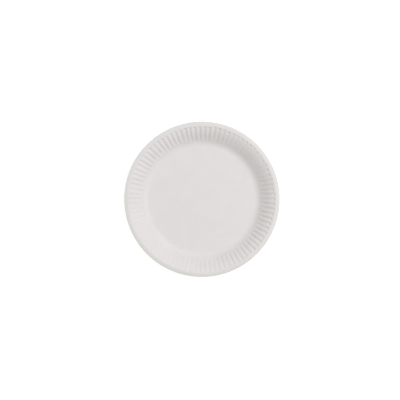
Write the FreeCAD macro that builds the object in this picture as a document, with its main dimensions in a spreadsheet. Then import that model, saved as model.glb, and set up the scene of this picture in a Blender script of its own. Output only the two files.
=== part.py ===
import FreeCAD, Part
import math
import os
import Sketcher

# Paper plate, pressed from one disc of board: flat floor, curved cove, flared wall
# with flutes all round, rolled lip and a brim that slopes down to the cut edge.
# The model stands on the underside of its floor, centred on the Z axis, +Z up.

os.makedirs("parts", exist_ok=True)
doc = FreeCAD.newDocument("PaperPlate")
sheet = doc.addObject("Spreadsheet::Sheet", "Sizes")

# Sizes that can be set by themselves: millimetres, degrees or a count
settings = [
    ("plateDiameter", 180, "across the cut edge"),
    ("plateHeight", 15, "underside of the floor to the crest of the lip"),
    ("boardThickness", 0.45, "pressed board"),
    ("rimWidth", 27.8, "edge of the flat floor to the cut edge, seen from above"),
    ("coveRadius", 10.5, "top face, floor to wall"),
    ("lipRadius", 4.5, "top face, wall to brim"),
    ("brimWidth", 3.2, "crest of the lip to the cut edge, seen from above"),
    ("brimSlope", 9.5, "brim below level"),
    ("fluteCount", 90, "all round"),
    ("fluteWidth", 3.6, "across a groove, at the face of the wall"),
    ("fluteDepth", 0.8, "square to the wall"),
    ("fluteInset", 0.5, "cove or lip to the end of a groove, along the wall"),
    ("outerRamp", 40, "outer end of a groove against the wall"),
    ("innerRamp", 8, "inner end of a groove against the wall"),
]

# What follows from them. The wall is the straight line that touches the cove arc
# from below and the lip arc from above, so its slope is the slope of the line
# between the two centres plus asin((coveRadius + lipRadius) / distance).
# A flank of a groove drops fluteDepth over half of fluteWidth; the rib beneath it
# has the same planes, each moved out by the thickness of the board. The rib starts
# inside the board, and what presses the groove starts a little above the wall.
derived = [
    ("rimRadius", "=plateDiameter / 2"),
    ("coveX", "=rimRadius - rimWidth"),
    ("coveZ", "=boardThickness + coveRadius"),
    ("lipX", "=rimRadius - brimWidth"),
    ("lipZ", "=plateHeight - lipRadius"),
    ("centreGap", "=sqrt((lipX - coveX) ^ 2 + (lipZ - coveZ) ^ 2)"),
    ("wallSlope", "=atan((lipZ - coveZ) / (lipX - coveX)) + asin((coveRadius + lipRadius) / centreGap)"),
    ("wallLength", "=sqrt(centreGap ^ 2 - (coveRadius + lipRadius) ^ 2)"),
    ("grooveLength", "=wallLength - 2 * fluteInset"),
    ("grooveX", "=lipX - lipRadius * sin(wallSlope) - fluteInset * cos(wallSlope)"),
    ("grooveZ", "=lipZ + lipRadius * cos(wallSlope) - fluteInset * sin(wallSlope)"),
    ("flankSlope", "=atan(2 * fluteDepth / fluteWidth)"),
    ("ribDepth", "=fluteDepth + boardThickness / cos(flankSlope)"),
    ("ribTop", "=boardThickness * 0.8"),
    ("grooveLift", "=boardThickness / 8"),
]

for row, (name, value, note) in enumerate(settings, start=1):
    sheet.set("A%d" % row, name)
    sheet.set("B%d" % row, str(value))
    sheet.set("C%d" % row, note)
    sheet.setAlias("B%d" % row, name)
for row, (name, formula) in enumerate(derived, start=len(settings) + 2):
    sheet.set("A%d" % row, name)
    sheet.set("B%d" % row, formula)
    sheet.setAlias("B%d" % row, name)
doc.recompute()


def size(name):
    return float(sheet.get(name))


def point(x, y):
    return FreeCAD.Vector(x, y, 0)


def originItem(body, role):
    for item in body.Origin.OriginFeatures:
        if item.Role == role:
            return item


def tie(sketch, *facts):
    for fact in facts:
        sketch.addConstraint(Sketcher.Constraint(*fact))


def drive(sketch, name, formula, kind, *where):
    number = float(sheet.evalExpression(formula))
    if kind == "Angle":
        number = math.radians(number)
        formula = "(%s) * 1deg" % formula
    index = sketch.addConstraint(Sketcher.Constraint(kind, *where, number))
    sketch.renameConstraint(index, name)
    sketch.setExpression("Constraints." + name, formula)


# Point of the section where an arc has the given slope: below its centre
# for a positive radius (the cove), above it for a negative one (the lip)
def onArc(centre, radius, slope):
    turn = math.radians(slope)
    return centre + point(radius * math.sin(turn), -radius * math.cos(turn))


# One face of the board from the axis to the cut edge: floor line, cove arc, wall line,
# lip arc, brim line. The top face has inside = 0, the underside the board's thickness.
def addFace(sketch, face, inside):
    coveCentre = point(size("coveX"), size("coveZ"))
    lipCentre = point(size("lipX"), size("lipZ"))
    slope = size("wallSlope")
    brim = -size("brimSlope")
    coveRadius = size("coveRadius") + inside
    lipRadius = -(size("lipRadius") - inside)
    floorEnd = onArc(coveCentre, coveRadius, 0)
    wallStart = onArc(coveCentre, coveRadius, slope)
    wallEnd = onArc(lipCentre, lipRadius, slope)
    brimStart = onArc(lipCentre, lipRadius, brim)
    coveMiddle = onArc(coveCentre, coveRadius, slope / 2)
    lipMiddle = onArc(lipCentre, lipRadius, (slope + brim) / 2)
    fall = math.radians(brim)
    reach = (size("rimRadius") - brimStart.x) / math.cos(fall)
    edge = brimStart + point(math.cos(fall), math.sin(fall)) * reach
    floor = sketch.addGeometry(Part.LineSegment(point(0, floorEnd.y), floorEnd), False)
    cove = sketch.addGeometry(Part.Arc(floorEnd, coveMiddle, wallStart), False)
    wall = sketch.addGeometry(Part.LineSegment(wallStart, wallEnd), False)
    lip = sketch.addGeometry(Part.Arc(wallEnd, lipMiddle, brimStart), False)
    brimLine = sketch.addGeometry(Part.LineSegment(brimStart, edge), False)
    # an arc runs anticlockwise: the cove from its floor end, the lip from its brim end
    tie(
        sketch,
        ("PointOnObject", floor, 1, -2),
        ("Horizontal", floor),
        ("Tangent", floor, 2, cove, 1),
        ("Tangent", cove, 2, wall, 1),
        ("Tangent", wall, 2, lip, 2),
        ("Tangent", lip, 1, brimLine, 1),
    )
    gap = "Sizes.boardThickness" if inside else "0"
    drive(sketch, face + "Cove", "Sizes.coveRadius + " + gap, "Radius", cove)
    drive(sketch, face + "Lip", "Sizes.lipRadius - " + gap, "Radius", lip)
    return floor, cove, lip, brimLine


# Half section of the plain board, two faces apart by the thickness everywhere
def boardSection(body):
    sketch = body.newObject("Sketcher::SketchObject", "BoardSection")
    sketch.AttachmentSupport = [(originItem(body, "XZ_Plane"), "")]
    sketch.MapMode = "FlatFace"
    topFloor, topCove, topLip, topBrim = addFace(sketch, "top", 0)
    underFloor, underCove, underLip, underBrim = addFace(sketch, "under", size("boardThickness"))
    edge = sketch.addGeometry(
        Part.LineSegment(sketch.getPoint(topBrim, 2), sketch.getPoint(underBrim, 2)), False
    )
    axis = sketch.addGeometry(
        Part.LineSegment(sketch.getPoint(topFloor, 1), sketch.getPoint(underFloor, 1)), False
    )
    tie(
        sketch,
        ("Coincident", topBrim, 2, edge, 1),
        ("Coincident", underBrim, 2, edge, 2),
        ("Coincident", topFloor, 1, axis, 1),
        ("Coincident", underFloor, 1, axis, 2),
        ("Coincident", topCove, 3, underCove, 3),
        ("Coincident", topLip, 3, underLip, 3),
        ("Perpendicular", topBrim, edge),
    )
    drive(sketch, "coveX", "Sizes.coveX", "DistanceX", -1, 1, topCove, 3)
    drive(sketch, "coveZ", "Sizes.coveZ", "DistanceY", -1, 1, topCove, 3)
    drive(sketch, "lipX", "Sizes.lipX", "DistanceX", -1, 1, topLip, 3)
    drive(sketch, "lipZ", "Sizes.lipZ", "DistanceY", -1, 1, topLip, 3)
    drive(sketch, "rimRadius", "Sizes.rimRadius", "DistanceX", -1, 1, topBrim, 2)
    drive(sketch, "brimSlope", "-Sizes.brimSlope", "Angle", topBrim)
    drive(sketch, "underBrimSlope", "-Sizes.brimSlope", "Angle", underBrim)
    return sketch


# A wedge like a hipped roof, laid on the wall upside down. Its X runs across the flute,
# its Y into the board and its Z down the wall from the outer end of the groove.
def wallWedge(body, kind, name, formulas):
    wedge = body.newObject(kind, name)
    wedge.AttachmentSupport = [(originItem(body, "YZ_Plane"), "")]
    wedge.MapMode = "FlatFace"
    tilt = FreeCAD.Rotation(FreeCAD.Vector(1, 0, 0), 180 - size("wallSlope"))
    wedge.AttachmentOffset = FreeCAD.Placement(FreeCAD.Vector(), tilt)
    wedge.setExpression("AttachmentOffset.Base.y", "Sizes.grooveZ")
    wedge.setExpression("AttachmentOffset.Base.z", "Sizes.grooveX")
    wedge.setExpression("AttachmentOffset.Rotation.Angle", "180deg - Sizes.wallSlope")
    for side, formula in formulas.items():
        wedge.setExpression(side, formula)
    wedge.Refine = False
    body.Tip = wedge
    doc.recompute()
    return wedge


def allRound(body, name, feature):
    pattern = body.newObject("PartDesign::PolarPattern", name)
    pattern.Originals = [feature]
    pattern.Axis = (originItem(body, "Z_Axis"), [""])
    pattern.Angle = 360
    pattern.setExpression("Occurrences", "Sizes.fluteCount")
    pattern.Refine = False
    body.Tip = pattern
    doc.recompute()
    return pattern


# How far a plane of the groove has come in at depth y, from where it cuts the face
# of the wall at the given slope, when it is moved out by the thickness "out"
def comeIn(y, slope, out):
    return "((%s) / tan(%s) - (%s) / sin(%s))" % (y, slope, out, slope)


# The wedge between the depths topY and bottomY, where its two flanks meet in a line
def wedgeSides(topY, bottomY, out):
    flankTop = comeIn(topY, "Sizes.flankSlope", out)
    outerTop = comeIn(topY, "Sizes.outerRamp * 1deg", out)
    outerBottom = comeIn(bottomY, "Sizes.outerRamp * 1deg", out)
    innerTop = comeIn(topY, "Sizes.innerRamp * 1deg", out)
    innerBottom = comeIn(bottomY, "Sizes.innerRamp * 1deg", out)
    return {
        "Ymin": topY,
        "Ymax": bottomY,
        "Xmin": flankTop + " - Sizes.fluteWidth / 2",
        "Xmax": "Sizes.fluteWidth / 2 - " + flankTop,
        "X2min": "0",
        "X2max": "0",
        "Zmin": outerTop,
        "Zmax": "Sizes.grooveLength - " + innerTop,
        "Z2min": outerBottom,
        "Z2max": "Sizes.grooveLength - " + innerBottom,
    }


plate = doc.addObject("PartDesign::Body", "Plate")
plate.Label = "plate"
plate.Placement = FreeCAD.Placement()

# The plain pressed board
board = plate.newObject("PartDesign::Revolution", "Board")
board.Profile = boardSection(plate)
board.ReferenceAxis = (originItem(plate, "Z_Axis"), [""])
board.Angle = 360
plate.Tip = board
doc.recompute()
plainVolume = board.Shape.Volume

# The flutes: ribs under the wall first, then the grooves pressed into them from above,
# so that the board has the same thickness in the flutes as everywhere else
rib = wallWedge(
    plate,
    "PartDesign::AdditiveWedge",
    "Rib",
    wedgeSides("Sizes.ribTop", "Sizes.ribDepth", "Sizes.boardThickness"),
)
ribs = allRound(plate, "Ribs", rib)
groove = wallWedge(
    plate,
    "PartDesign::SubtractiveWedge",
    "Groove",
    wedgeSides("-Sizes.grooveLift", "Sizes.fluteDepth", "0"),
)
grooves = allRound(plate, "Grooves", groove)

for item in doc.Objects:
    if "Invalid" in item.State or "Error" in item.State:
        raise RuntimeError("%s is not sound: %s" % (item.Name, item.State))
if not plainVolume < grooves.Shape.Volume < ribs.Shape.Volume:
    raise RuntimeError("the ribs or the grooves are missing")
if plate.Shape.isNull() or not plate.Shape.isValid() or len(plate.Shape.Solids) != 1:
    raise RuntimeError("the plate is not one sound solid")
plate.Shape.exportStep("parts/%s.step" % plate.Label)
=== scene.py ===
import math

import bpy
import numpy as np
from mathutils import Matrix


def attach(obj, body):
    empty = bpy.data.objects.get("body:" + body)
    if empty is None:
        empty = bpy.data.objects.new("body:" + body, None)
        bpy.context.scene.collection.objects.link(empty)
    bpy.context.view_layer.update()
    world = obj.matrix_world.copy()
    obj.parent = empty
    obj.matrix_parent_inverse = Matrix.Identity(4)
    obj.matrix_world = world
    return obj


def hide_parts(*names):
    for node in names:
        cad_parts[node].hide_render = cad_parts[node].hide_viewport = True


# A fluted paper plate on a white table, seen from straight above. Metres, +Z up.

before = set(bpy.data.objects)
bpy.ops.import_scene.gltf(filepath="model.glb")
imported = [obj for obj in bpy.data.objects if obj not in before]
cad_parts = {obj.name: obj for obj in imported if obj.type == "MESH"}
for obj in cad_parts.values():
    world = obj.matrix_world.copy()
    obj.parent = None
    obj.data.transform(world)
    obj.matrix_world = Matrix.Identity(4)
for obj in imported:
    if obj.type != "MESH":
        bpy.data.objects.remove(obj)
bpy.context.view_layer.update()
print("frame loaded:", sorted(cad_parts))


# The plate is one board, pressed: floor, cove, wall with flutes, lip and brim.
plate = {
    "radius": 0.090,          # to the cut edge
    "height": 0.015,          # underside of the floor to the crest of the lip
    "board": 0.00045,         # thickness
    "coveRadius": 0.0104,     # top face
    "lipRadius": 0.0066,      # top face
    "brimWidth": 0.0035,      # crest of the lip to the cut edge, from above
    "brimSlope": 7.0,         # degrees below level
    "brimDroop": 8,           # how much steeper it hangs on one side, degrees
    "droopSide": 303,         # azimuth of that side, degrees
    "wallFoot": 45,           # slope of the wall where the cove ends, degrees
    "wallMiddle": 39,         # halfway up
    "wallTop": 21,            # and where the lip begins
    "fluteCount": 90,
    "fluteWidth": 0.0038,
    "fluteDepth": 0.00088,
    "fluteInset": -0.0004,    # cove or lip to the end of a groove, along the wall
    "outerRamp": 50,          # how steeply a groove starts under the lip, degrees
    "innerRamp": 8,           # and how gently it runs out towards the cove
    "crease": 0.00030,        # rounding of the pressed creases
    "spacingJitter": 0.055,   # share of the pitch
    "depthJitter": 0.18,      # share of the depth
    "innerJitter": 0.0010,    # of where a groove runs out
    "outerJitter": 0.0004,    # and of where it starts
    "shallowSide": 235,       # azimuth where the flutes are pressed least, degrees
    "shallowShare": 0.72,     # how much less
    "faintSide": 54,          # azimuth where little more than dents under the lip is left
    "faintSpread": 22,        # how far that reaches to both sides, degrees
    "faintShare": 0.65,       # how much of the depth is missing there
    "faintDent": 0.85,        # and how deep the dents are, as a share of the depth
    "pinch": 0.75,            # how much deeper the board bunches up at most, share
    "pinchAt": 0.0011,        # inwards from a groove's outer end
    "pinchLength": 0.0011,
    "seed": 7,
    "curveSteps": 6000,       # of the section, from the axis to the cut edge
    "slopeSteps": 500,        # of the wall, when its length is worked out
    "stepsPerFlute": 12,      # mesh columns
    "denseFrom": 0.8,         # share of the wall above which the mesh rows lie closer
    "topRows": {"floor": 5, "cove": 9, "wall": 18, "grooveStart": 9, "lip": 8, "brim": 3},
    "underRows": {"floor": 3, "cove": 5, "wall": 12, "grooveStart": 8, "lip": 4, "brim": 2},
    "edgeRows": (0.12, 0.5, 0.88),        # shares of the board, from the top face down
    "edgeBevel": 0.0001,
}


# The larger of a and 0, with the corner rounded by a parabola from -soft to +soft
def softFloor(a, soft):
    share = np.clip((a + soft) / (2 * soft), 0, 1)
    return soft * share**2 + np.maximum(a - soft, 0)


# The smaller of a and b, with the corner between them rounded the same way
def softMin(a, b, soft):
    return a - softFloor(a - b, soft)


# Top face of the board from the axis to the cut edge, as a curve whose slope is known at
# each point of its length: level floor, slope growing evenly through the cove, easing
# along the wall, falling evenly over the lip, then the brim. r is the sum of cos(slope)
# and z the sum of sin(slope) over the length; the wall's length makes the height come out.
def boardCurve(p):
    foot, middle, top, fall = (
        math.radians(p[name]) for name in ("wallFoot", "wallMiddle", "wallTop", "brimSlope")
    )
    rise = p["height"] - p["board"]
    rise -= p["coveRadius"] * (1 - math.cos(foot)) + p["lipRadius"] * (1 - math.cos(top))
    climb = np.linspace(0, 1, p["slopeSteps"] + 1)
    wallSlope = np.interp(climb, [0, 0.5, 1], [foot, middle, top])
    wall = rise / np.sin(wallSlope).mean()
    reach = p["coveRadius"] * math.sin(foot) + p["lipRadius"] * math.sin(top)
    reach += wall * np.cos(wallSlope).mean()
    floor = p["radius"] - p["brimWidth"] - reach
    cove = p["coveRadius"] * foot
    lip = p["lipRadius"] * (top + fall)
    brim = (p["brimWidth"] - p["lipRadius"] * math.sin(fall)) / math.cos(fall)
    knots = np.cumsum([0, floor, cove, wall, lip, brim])
    length = np.linspace(0, knots[-1], p["curveSteps"] + 1)
    bends = np.insert(knots, 3, (knots[2] + knots[3]) / 2)
    slope = np.interp(length, bends, [0, 0, foot, middle, top, -fall, -fall])
    step = np.diff(length)
    between = (slope[1:] + slope[:-1]) / 2
    r = np.concatenate([[0], np.cumsum(np.cos(between) * step)])
    z = p["board"] + np.concatenate([[0], np.cumsum(np.sin(between) * step)])
    return {"length": length, "slope": slope, "r": r, "z": z, "knots": knots}


# Stations along the curve, evenly spaced within each stretch: a few on the floor and brim,
# more where the board bends and most where the grooves start under the lip
def boardStations(p, curve, rows):
    floorEnd, coveEnd, wallEnd, lipEnd, edge = curve["knots"][1:]
    dense = coveEnd + (wallEnd - coveEnd) * p["denseFrom"]
    return np.concatenate([
        np.linspace(0, floorEnd, rows["floor"], endpoint=False)[1:],
        np.linspace(floorEnd, coveEnd, rows["cove"], endpoint=False),
        np.linspace(coveEnd, dense, rows["wall"], endpoint=False),
        np.linspace(dense, wallEnd, rows["grooveStart"], endpoint=False),
        np.linspace(wallEnd, lipEnd, rows["lip"], endpoint=False),
        np.linspace(lipEnd, edge - p["edgeBevel"], rows["brim"]),
    ])


# Depth of the pressed groove at each station and angle: the least of what its two flanks,
# its steep outer end and its gentle inner end allow, with all creases rounded. The depth is
# uneven from groove to groove, less on the shallow side by a cosine and round the faint
# side by a bell curve. Near the outer end, where the board bunches up, a dent is added by
# another bell curve: at random, and on the faint side at every groove.
def grooveDepth(p, curve, stations, turn):
    rng = np.random.default_rng(p["seed"])
    count = p["fluteCount"]
    pitch = 2 * math.pi / count
    shift = rng.normal(0, p["spacingJitter"] * pitch / 2, count)
    deep = p["fluteDepth"] * (1 + rng.normal(0, p["depthJitter"] / 2, count))
    inner = rng.normal(0, p["innerJitter"], count)
    outer = rng.normal(0, p["outerJitter"], count)
    pinch = p["pinch"] * rng.random(count) ** 2
    fromShallow = np.arange(count) * pitch - math.radians(p["shallowSide"])
    deep *= 1 - p["shallowShare"] * np.clip(np.cos(fromShallow), 0, 1)
    fromFaint = np.arange(count) * 360 / count - p["faintSide"]
    faint = np.exp(-((fromFaint / p["faintSpread"]) ** 2))
    dent = deep * (pinch + p["faintDent"] * faint)
    deep *= 1 - p["faintShare"] * faint

    nearest = np.round(turn / pitch).astype(int) % count
    away = (turn - nearest * pitch + math.pi) % (2 * math.pi) - math.pi - shift[nearest]
    r = np.interp(stations, curve["length"], curve["r"])
    across = np.abs(r[:, None] * away[None, :])
    coveEnd, wallEnd = curve["knots"][2:4]
    fromOuter = (wallEnd - p["fluteInset"] - stations)[:, None] - outer[nearest][None, :]
    fromInner = (stations - coveEnd - p["fluteInset"])[:, None] + inner[nearest][None, :]
    bunched = np.exp(-(((fromOuter - p["pinchAt"]) / p["pinchLength"]) ** 2))
    depth = deep[nearest][None, :] + dent[nearest][None, :] * bunched
    flank = depth * (1 - across / (p["fluteWidth"] / 2))
    ends = softMin(
        fromOuter * math.tan(math.radians(p["outerRamp"])),
        fromInner * math.tan(math.radians(p["innerRamp"])),
        p["crease"],
    )
    return softFloor(softMin(flank, ends, p["crease"]), p["crease"])


# How far the uneven brim hangs down at each radius and angle: the way out from the crest
# of the lip, times the tangent of the droop, times a cosine round the plate
def brimSag(p, r, turn):
    beyond = np.maximum(r - (p["radius"] - p["brimWidth"]), 0)
    return beyond * math.tan(math.radians(p["brimDroop"])) * np.cos(
        turn - math.radians(p["droopSide"])
    )


# Points of one face: the curve turned round the axis, moved along the board's normal
# by the groove's depth and by "inside", 0 for the top face and the board for the underside
def facePoints(p, curve, stations, turn, depth, inside):
    r, z, slope = (
        np.interp(stations, curve["length"], curve[name])[:, None]
        for name in ("r", "z", "slope")
    )
    down = depth + inside
    radius = r + np.sin(slope) * down
    x = radius * np.cos(turn)[None, :]
    y = radius * np.sin(turn)[None, :]
    return np.stack([x, y, z - np.cos(slope) * down - brimSag(p, r, turn)], axis=-1)


# Quads of a grid of rows and columns whose columns close round the axis
def gridQuads(rows, columns):
    index = np.arange(rows * columns).reshape(rows, columns)
    after = np.roll(index, -1, axis=1)
    quads = np.stack([index[:-1], index[1:], after[1:], after[:-1]], axis=-1)
    return quads.reshape(-1, 4)


# One closed shell: rings outwards over the top face, down the cut edge and back inwards
# under the board, with a fan of triangles round each pole
def buildPlate(p):
    curve = boardCurve(p)
    columns = p["fluteCount"] * p["stepsPerFlute"]
    turn = (np.arange(columns) + 0.5) * 2 * math.pi / columns
    top = boardStations(p, curve, p["topRows"])
    under = boardStations(p, curve, p["underRows"])[::-1]
    inside = np.array(p["edgeRows"])[:, None] * p["board"]
    edge = np.full(len(inside), curve["knots"][-1])
    topDepth = grooveDepth(p, curve, top, turn)
    edgeDepth = np.zeros((len(edge), columns))
    underDepth = grooveDepth(p, curve, under, turn)
    rings = np.concatenate([
        facePoints(p, curve, top, turn, topDepth, 0),
        facePoints(p, curve, edge, turn, edgeDepth, inside),
        facePoints(p, curve, under, turn, underDepth, p["board"]),
    ])
    poles = [[0, 0, p["board"]], [0, 0, 0]]
    points = np.concatenate([rings.reshape(-1, 3), poles])
    topPole, underPole = len(points) - 2, len(points) - 1
    first = np.arange(columns)
    last = first + (len(rings) - 1) * columns
    quads = gridQuads(len(rings), columns)
    fans = np.concatenate([
        np.stack([np.full(columns, topPole), first, np.roll(first, -1)], axis=-1),
        np.stack([last, np.full(columns, underPole), np.roll(last, -1)], axis=-1),
    ])
    mesh = bpy.data.meshes.new("plateBoard")
    mesh.from_pydata(points.tolist(), [], quads.tolist() + fans.tolist())

    # material of each face: 0 top, 1 underside, 2 cut edge
    ringOf = np.repeat(np.arange(len(rings) - 1), columns)
    edgeFrom, edgeTo = len(top) - 1, len(top) + len(edge)
    kind = np.where(ringOf < edgeFrom, 0, np.where(ringOf < edgeTo, 2, 1))
    kind = np.concatenate([kind, np.zeros(columns), np.ones(columns)]).astype(np.int32)
    mesh.polygons.foreach_set("material_index", kind)
    mesh.polygons.foreach_set("use_smooth", np.ones(len(kind), bool))

    # how far each point is pressed in, as a share of a groove's depth, which also sets how much
    # painted shade the materials put in the grooves
    pressed = mesh.attributes.new("pressed", "FLOAT", "POINT")
    press = np.concatenate([topDepth, edgeDepth, underDepth]).ravel() / p["fluteDepth"]
    pressed.data.foreach_set("value", np.append(press, [0, 0]).astype(np.float32))
    mesh.update()
    piece = bpy.data.objects.new("plateBoard", mesh)
    bpy.context.scene.collection.objects.link(piece)
    return piece


plateBoard = buildPlate(plate)
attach(plateBoard, "root")
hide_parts("plate")
print("plate built:", len(plateBoard.data.polygons), "faces")


# The board's finish. A tone is an sRGB colour 0..255; light and dark are the two ends of
# the board's own unevenness.
boardFinish = {
    "cloudScale": 55,         # patches of thicker and thinner stock, per metre
    "cloudDetail": 4,
    "cloudRough": 0.6,
    "cloudRange": (0.3, 0.7),             # of the noise, from dark tone to light
    "fibreScale": 2200,       # per metre
    "fibreDetail": 3,
    "fibreTwist": 0.6,        # how much the fibres curl
    "fibreRange": (0.38, 0.72),
    "fibreLays": ((0.5, 0.16), (-0.7, 0.22)),     # direction, radians, and how much narrower
    "roughSpread": 0.12,      # from the smoothest spot to the roughest
    "burnish": 0.08,          # how much smoother the bottom of a groove is
    "bumpStrength": 0.6,
    "ior": 1.45,
    "specular": 0.3,
    "coatRough": 0.5,
}
topFinish = {
    "light": (227, 222, 222.6),
    "dark": (221, 216, 216.1),
    "crease": (0.970, 0.965, 0.960),      # painted shade: what the colour turns by in a groove
    "paintedRimTint": (0.982, 1.004, 0.990),         # painted tint of the light: what it turns by, little by little, up to the lip
    "rough": 0.62,
    "bump": 0.00001,          # height of the fibres
    "coat": 0.04,
    "fibreShare": 0.45,       # how much of the unevenness is fibre, not clouds
}
underFinish = {
    "light": (226, 222, 219),
    "dark": (214, 209, 205),
    # painted shade in the grooves of the underside
    "crease": (0.980, 0.975, 0.970),
    "paintedRimTint": (1, 1, 1),
    "rough": 0.85,
    "bump": 0.00003,
    "coat": 0,
    "fibreShare": 0.6,
}
edgeFinish = {
    "light": (222, 217, 212),
    "dark": (200, 193, 186),
    "crease": (1, 1, 1),
    "paintedRimTint": (1, 1, 1),
    "rough": 0.9,
    "bump": 0.00004,
    "coat": 0,
    "fibreShare": 0.8,
}


# sRGB tone to the linear colour that a shader socket wants, by the sRGB curve: a straight
# line for the darkest tones and a power of 2.4 above it
def boardTone(tone):
    share = np.array(tone) / 255
    linear = np.where(share <= 0.04045, share / 12.92, ((share + 0.055) / 1.055) ** 2.4)
    return (*linear.tolist(), 1)


# An empty node group with the named sockets. Each material sets or links all its inputs.
def newGroup(name, inputs, outputs):
    group = bpy.data.node_groups.new(name, "ShaderNodeTree")
    for way, sockets in (("INPUT", inputs), ("OUTPUT", outputs)):
        for label, kind in sockets:
            group.interface.new_socket(label, in_out=way, socket_type="NodeSocket" + kind)
    source = group.nodes.new("NodeGroupInput")
    sink = group.nodes.new("NodeGroupOutput")
    source.location = (-900, 0)
    sink.location = (700, 0)
    return group, source, sink


# A node at a place in the node editor, with its settings
def addNode(tree, kind, place, **settings):
    node = tree.nodes.new(kind)
    node.location = place
    for name, value in settings.items():
        setattr(node, name, value)
    return node


# A sum, product, difference or maximum of two values, each a socket or a plain number
def mathNode(tree, operation, place, first, second):
    node = addNode(tree, "ShaderNodeMath", place, operation=operation)
    for socket, value in zip(node.inputs, (first, second)):
        if isinstance(value, bpy.types.NodeSocket):
            tree.links.new(value, socket)
        else:
            socket.default_value = value
    return node.outputs[0]


# A value taken from the range low..high to 0..1
def rangeNode(tree, place, value, low, high):
    node = addNode(tree, "ShaderNodeMapRange", place)
    node.inputs["From Min"].default_value = low
    node.inputs["From Max"].default_value = high
    tree.links.new(value, node.inputs["Value"])
    return node.outputs["Result"]


# places of a Mix node's colour sockets, which share their names with its other sockets
mixFirst, mixSecond, mixResult = 6, 7, 2


# Two colours mixed by a share, or the first multiplied by the second by that share
def colourNode(tree, place, share, first, second, blend="MIX"):
    node = addNode(tree, "ShaderNodeMix", place, data_type="RGBA", blend_type=blend)
    tree.links.new(share, node.inputs["Factor"])
    tree.links.new(first, node.inputs[mixFirst])
    tree.links.new(second, node.inputs[mixSecond])
    return node.outputs[mixResult]


# Pressed board fibre: long matted fibres lying every way, the larger of two stretched
# noises, over slow clouds of thicker and thinner stock. Puts out a colour between two
# tones, a roughness and a height.
def makeBoardFibre(f):
    group, source, sink = newGroup(
        "boardFibre",
        [
            ("Vector", "Vector"),
            ("Light", "Color"),
            ("Dark", "Color"),
            ("Cloud Scale", "Float"),
            ("Fibre Scale", "Float"),
            ("Fibre Share", "Float"),
            ("Roughness", "Float"),
            ("Roughness Spread", "Float"),
        ],
        [("Colour", "Color"), ("Roughness", "Float"), ("Height", "Float")],
    )
    links = group.links
    given = source.outputs
    cloud = addNode(group, "ShaderNodeTexNoise", (-650, 250))
    cloud.inputs["Detail"].default_value = f["cloudDetail"]
    cloud.inputs["Roughness"].default_value = f["cloudRough"]
    links.new(given["Vector"], cloud.inputs["Vector"])
    links.new(given["Cloud Scale"], cloud.inputs["Scale"])
    layers = []
    for low, (turn, narrow) in zip((0, -250), f["fibreLays"]):
        lay = addNode(group, "ShaderNodeMapping", (-650, low))
        lay.inputs["Rotation"].default_value = (0, 0, turn)
        lay.inputs["Scale"].default_value = (1, narrow, 1)
        fibre = addNode(group, "ShaderNodeTexNoise", (-450, low))
        fibre.inputs["Detail"].default_value = f["fibreDetail"]
        fibre.inputs["Distortion"].default_value = f["fibreTwist"]
        links.new(given["Vector"], lay.inputs["Vector"])
        links.new(lay.outputs["Vector"], fibre.inputs["Vector"])
        links.new(given["Fibre Scale"], fibre.inputs["Scale"])
        layers.append(fibre.outputs["Fac"])
    matted = mathNode(group, "MAXIMUM", (-250, -80), *layers)
    fine = rangeNode(group, (-80, -80), matted, *f["fibreRange"])
    slow = rangeNode(group, (-80, 250), cloud.outputs["Fac"], *f["cloudRange"])
    both = addNode(group, "ShaderNodeMix", (120, 120), data_type="FLOAT")
    links.new(given["Fibre Share"], both.inputs["Factor"])
    links.new(slow, both.inputs["A"])
    links.new(fine, both.inputs["B"])
    tone = colourNode(group, (320, 200), both.outputs["Result"], given["Dark"], given["Light"])
    centred = mathNode(group, "SUBTRACT", (300, -40), fine, 0.5)
    swing = mathNode(group, "MULTIPLY", (450, -40), centred, given["Roughness Spread"])
    rough = mathNode(group, "ADD", (560, -40), swing, given["Roughness"])
    links.new(tone, sink.inputs["Colour"])
    links.new(rough, sink.inputs["Roughness"])
    links.new(fine, sink.inputs["Height"])
    return group


# Painted light and a rubbed face: shade painted into the creases by their depth, a painted tint
# of the light growing from the floor up to the lip, read off the height above the table, and a
# smoother face where the die rubbed
def makePaintedLightAndBurnish(p):
    group, source, sink = newGroup(
        "paintedLightAndBurnish",
        [
            ("Colour", "Color"),
            ("Roughness", "Float"),
            ("Pressed", "Float"),
            ("Vector", "Vector"),
            ("Painted Crease Shade", "Color"),
            ("Painted Rim Tint", "Color"),
            ("Burnish", "Float"),
        ],
        [("Colour", "Color"), ("Roughness", "Float")],
    )
    links = group.links
    given = source.outputs
    split = addNode(group, "ShaderNodeSeparateXYZ", (-700, -250))
    links.new(given["Vector"], split.inputs["Vector"])
    climb = rangeNode(group, (-500, -250), split.outputs["Z"], p["board"], p["height"])
    creaseShaded = colourNode(
        group, (-200, 200), given["Pressed"], given["Colour"], given["Painted Crease Shade"], "MULTIPLY"
    )
    lightTinted = colourNode(group, (100, 150), climb, creaseShaded, given["Painted Rim Tint"], "MULTIPLY")
    rubbed = mathNode(group, "MULTIPLY", (-200, -100), given["Pressed"], given["Burnish"])
    rough = mathNode(group, "SUBTRACT", (100, -100), given["Roughness"], rubbed)
    links.new(lightTinted, sink.inputs["Colour"])
    links.new(rough, sink.inputs["Roughness"])
    return group


boardFibre = makeBoardFibre(boardFinish)
paintedLightAndBurnish = makePaintedLightAndBurnish(plate)
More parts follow.
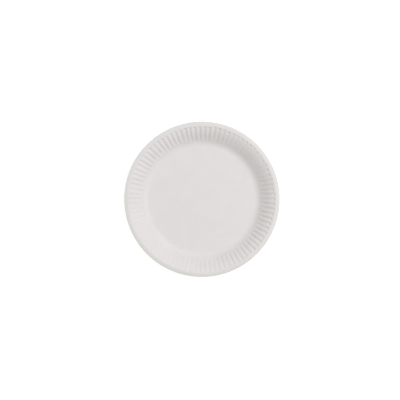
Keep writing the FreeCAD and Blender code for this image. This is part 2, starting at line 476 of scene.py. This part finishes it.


# A board material: the fibre group, the group of painted light and burnish, a fine bump and a
# plain Principled shader.
# The mesh attribute "pressed" says how far a groove is pressed in, and so how much painted
# shade it gets.
def boardMaterial(name, f, own):
    material = bpy.data.materials.new(name)
    material.use_nodes = True
    tree = material.node_tree
    tree.nodes.clear()
    place = addNode(tree, "ShaderNodeTexCoord", (-600, 0))
    fibre = addNode(tree, "ShaderNodeGroup", (-300, 0), node_tree=boardFibre)
    fibre.inputs["Light"].default_value = boardTone(own["light"])
    fibre.inputs["Dark"].default_value = boardTone(own["dark"])
    fibre.inputs["Cloud Scale"].default_value = f["cloudScale"]
    fibre.inputs["Fibre Scale"].default_value = f["fibreScale"]
    fibre.inputs["Fibre Share"].default_value = own["fibreShare"]
    fibre.inputs["Roughness"].default_value = own["rough"]
    fibre.inputs["Roughness Spread"].default_value = f["roughSpread"]
    tree.links.new(place.outputs["Object"], fibre.inputs["Vector"])

    pressed = addNode(tree, "ShaderNodeAttribute", (-300, -350), attribute_name="pressed")
    # painted shade in the grooves, a painted tint of the light up to the lip, and a smoother
    # face in the grooves
    press = addNode(tree, "ShaderNodeGroup", (150, 100), node_tree=paintedLightAndBurnish)
    press.inputs["Painted Crease Shade"].default_value = (*own["crease"], 1)
    press.inputs["Painted Rim Tint"].default_value = (*own["paintedRimTint"], 1)
    press.inputs["Burnish"].default_value = f["burnish"]
    tree.links.new(fibre.outputs["Colour"], press.inputs["Colour"])
    tree.links.new(fibre.outputs["Roughness"], press.inputs["Roughness"])
    tree.links.new(pressed.outputs["Fac"], press.inputs["Pressed"])
    tree.links.new(place.outputs["Object"], press.inputs["Vector"])

    bump = addNode(tree, "ShaderNodeBump", (350, -350))
    bump.inputs["Strength"].default_value = f["bumpStrength"]
    bump.inputs["Distance"].default_value = own["bump"]
    tree.links.new(fibre.outputs["Height"], bump.inputs["Height"])

    shader = addNode(tree, "ShaderNodeBsdfPrincipled", (600, 0))
    shader.inputs["IOR"].default_value = f["ior"]
    shader.inputs["Specular IOR Level"].default_value = f["specular"]
    shader.inputs["Coat Weight"].default_value = own["coat"]
    shader.inputs["Coat Roughness"].default_value = f["coatRough"]
    tree.links.new(press.outputs["Colour"], shader.inputs["Base Color"])
    tree.links.new(press.outputs["Roughness"], shader.inputs["Roughness"])
    tree.links.new(bump.outputs["Normal"], shader.inputs["Normal"])
    output = addNode(tree, "ShaderNodeOutputMaterial", (900, 0))
    tree.links.new(shader.outputs["BSDF"], output.inputs["Surface"])
    return material


# in the order of the mesh's material numbers: top face, underside, cut edge
finishes = {"boardTop": topFinish, "boardUnder": underFinish, "boardEdge": edgeFinish}
for name, own in finishes.items():
    plateBoard.data.materials.append(boardMaterial(name, boardFinish, own))
print("board materials made")


table = {
    "half": 3.0,              # half of its side
    "drop": 0.00005,          # below the plate's underside
    "glow": 0.86,             # white that the camera sees without any lamp
    "shade": 0.30,            # how much of the lamps' light and shadow the camera sees
    "bounce": 0.85,           # how much light the table gives back to the plate
}


# 1 for the rays that show the background: straight to the camera, mirrored, or through glass
def backgroundRays(tree, place):
    x, y = place
    path = addNode(tree, "ShaderNodeLightPath", place)
    straight, mirrored, through = (
        path.outputs[name] for name in ("Is Camera Ray", "Is Glossy Ray", "Is Transmission Ray")
    )
    seen = mathNode(tree, "MAXIMUM", (x + 200, y), straight, mirrored)
    return mathNode(tree, "MAXIMUM", (x + 400, y), seen, through)


# A white table top: a faint diffuse face under an even glow for the rays that show the
# background, and a plain pale diffuse face for all other light
def buildTable(t):
    half, low = t["half"], -t["drop"]
    corners = [(-half, -half, low), (half, -half, low), (half, half, low), (-half, half, low)]
    mesh = bpy.data.meshes.new("tableTop")
    mesh.from_pydata(corners, [], [(0, 1, 2, 3)])
    mesh.update()
    material = bpy.data.materials.new("tableWhite")
    material.use_nodes = True
    tree = material.node_tree
    tree.nodes.clear()
    seen = backgroundRays(tree, (-900, -100))
    paint = addNode(tree, "ShaderNodeMix", (-250, 150), data_type="RGBA")
    paint.inputs[mixFirst].default_value = (t["bounce"], t["bounce"], t["bounce"], 1)
    paint.inputs[mixSecond].default_value = (t["shade"], t["shade"], t["shade"], 1)
    tree.links.new(seen, paint.inputs["Factor"])
    lit = addNode(tree, "ShaderNodeBsdfDiffuse", (0, 100))
    tree.links.new(paint.outputs[mixResult], lit.inputs["Color"])
    glow = addNode(tree, "ShaderNodeEmission", (0, -100))
    shown = mathNode(tree, "MULTIPLY", (-200, -100), seen, t["glow"])
    tree.links.new(shown, glow.inputs["Strength"])
    both = addNode(tree, "ShaderNodeAddShader", (300, 0))
    tree.links.new(lit.outputs["BSDF"], both.inputs[0])
    tree.links.new(glow.outputs["Emission"], both.inputs[1])
    output = addNode(tree, "ShaderNodeOutputMaterial", (600, 0))
    tree.links.new(both.outputs["Shader"], output.inputs["Surface"])
    mesh.materials.append(material)
    top = bpy.data.objects.new("tableTop", mesh)
    bpy.context.scene.collection.objects.link(top)


sky = {
    "strength": 0.564,
    "tint": (1.008, 1.005, 0.936),
}


# Even light from all round, with a plain white for the rays that show the background
def buildSky(s):
    world = bpy.data.worlds.new("sky")
    bpy.context.scene.world = world
    world.use_nodes = True
    tree = world.node_tree
    tree.nodes.clear()
    fill = addNode(tree, "ShaderNodeBackground", (0, 100))
    fill.inputs["Color"].default_value = (*s["tint"], 1)
    fill.inputs["Strength"].default_value = s["strength"]
    behind = addNode(tree, "ShaderNodeBackground", (0, -100))
    behind.inputs["Color"].default_value = (1, 1, 1, 1)
    pick = addNode(tree, "ShaderNodeMixShader", (200, 0))
    tree.links.new(backgroundRays(tree, (-500, 250)), pick.inputs["Fac"])
    tree.links.new(fill.outputs["Background"], pick.inputs[1])
    tree.links.new(behind.outputs["Background"], pick.inputs[2])
    output = addNode(tree, "ShaderNodeOutputWorld", (400, 0))
    tree.links.new(pick.outputs["Shader"], output.inputs["Surface"])


softBox = {
    "azimuth": 32.5,          # degrees anticlockwise from +X, seen from above
    "elevation": 59,
    "distance": 1.8,
    "size": 0.7,
    "power": 16.75,           # watts
    "tint": (0.985, 0.992, 1.058),
}


# A square soft box at the given azimuth, elevation and distance, facing the plate
def buildSoftBox(s):
    azimuth, elevation = math.radians(s["azimuth"]), math.radians(s["elevation"])
    light = bpy.data.lights.new("softBox", "AREA")
    light.shape = "SQUARE"
    light.size = s["size"]
    light.energy = s["power"]
    light.color = s["tint"]
    lamp = bpy.data.objects.new("softBox", light)
    lamp.location = (
        s["distance"] * math.cos(elevation) * math.cos(azimuth),
        s["distance"] * math.cos(elevation) * math.sin(azimuth),
        s["distance"] * math.sin(elevation),
    )
    lamp.rotation_euler = (-lamp.location).to_track_quat("-Z", "Y").to_euler()
    bpy.context.scene.collection.objects.link(lamp)


view = {
    "lens": 85,
    "sensor": 36,
    "nearest": 0.01,          # the distances between which the camera sees
    "farthest": 50,
    "frame": 400,             # pixels
    "plateWidth": 155.4,      # pixels, from cut edge to cut edge
    "plateAt": (202.02, 199.22),          # the plate's centre, pixels from the top left
}


# Camera straight above, image up = +Y. Its distance makes the cut edge span plateWidth
# of the frame, and its place puts the plate's centre at plateAt.
def buildCamera(v, p):
    perPixel = 2 * p["radius"] / v["plateWidth"]
    away = perPixel * v["frame"] * v["lens"] / v["sensor"]
    eye = bpy.data.cameras.new("camera")
    eye.lens = v["lens"]
    eye.sensor_width = v["sensor"]
    eye.clip_start = v["nearest"]
    eye.clip_end = v["farthest"]
    camera = bpy.data.objects.new("camera", eye)
    camera.location = (
        (v["frame"] / 2 - v["plateAt"][0]) * perPixel,
        (v["plateAt"][1] - v["frame"] / 2) * perPixel,
        p["height"] + away,
    )
    bpy.context.scene.collection.objects.link(camera)
    bpy.context.scene.camera = camera


buildTable(table)
buildSky(sky)
buildSoftBox(softBox)
buildCamera(view, plate)
bpy.context.scene.view_settings.view_transform = "Standard"
print("table, light and camera ready")
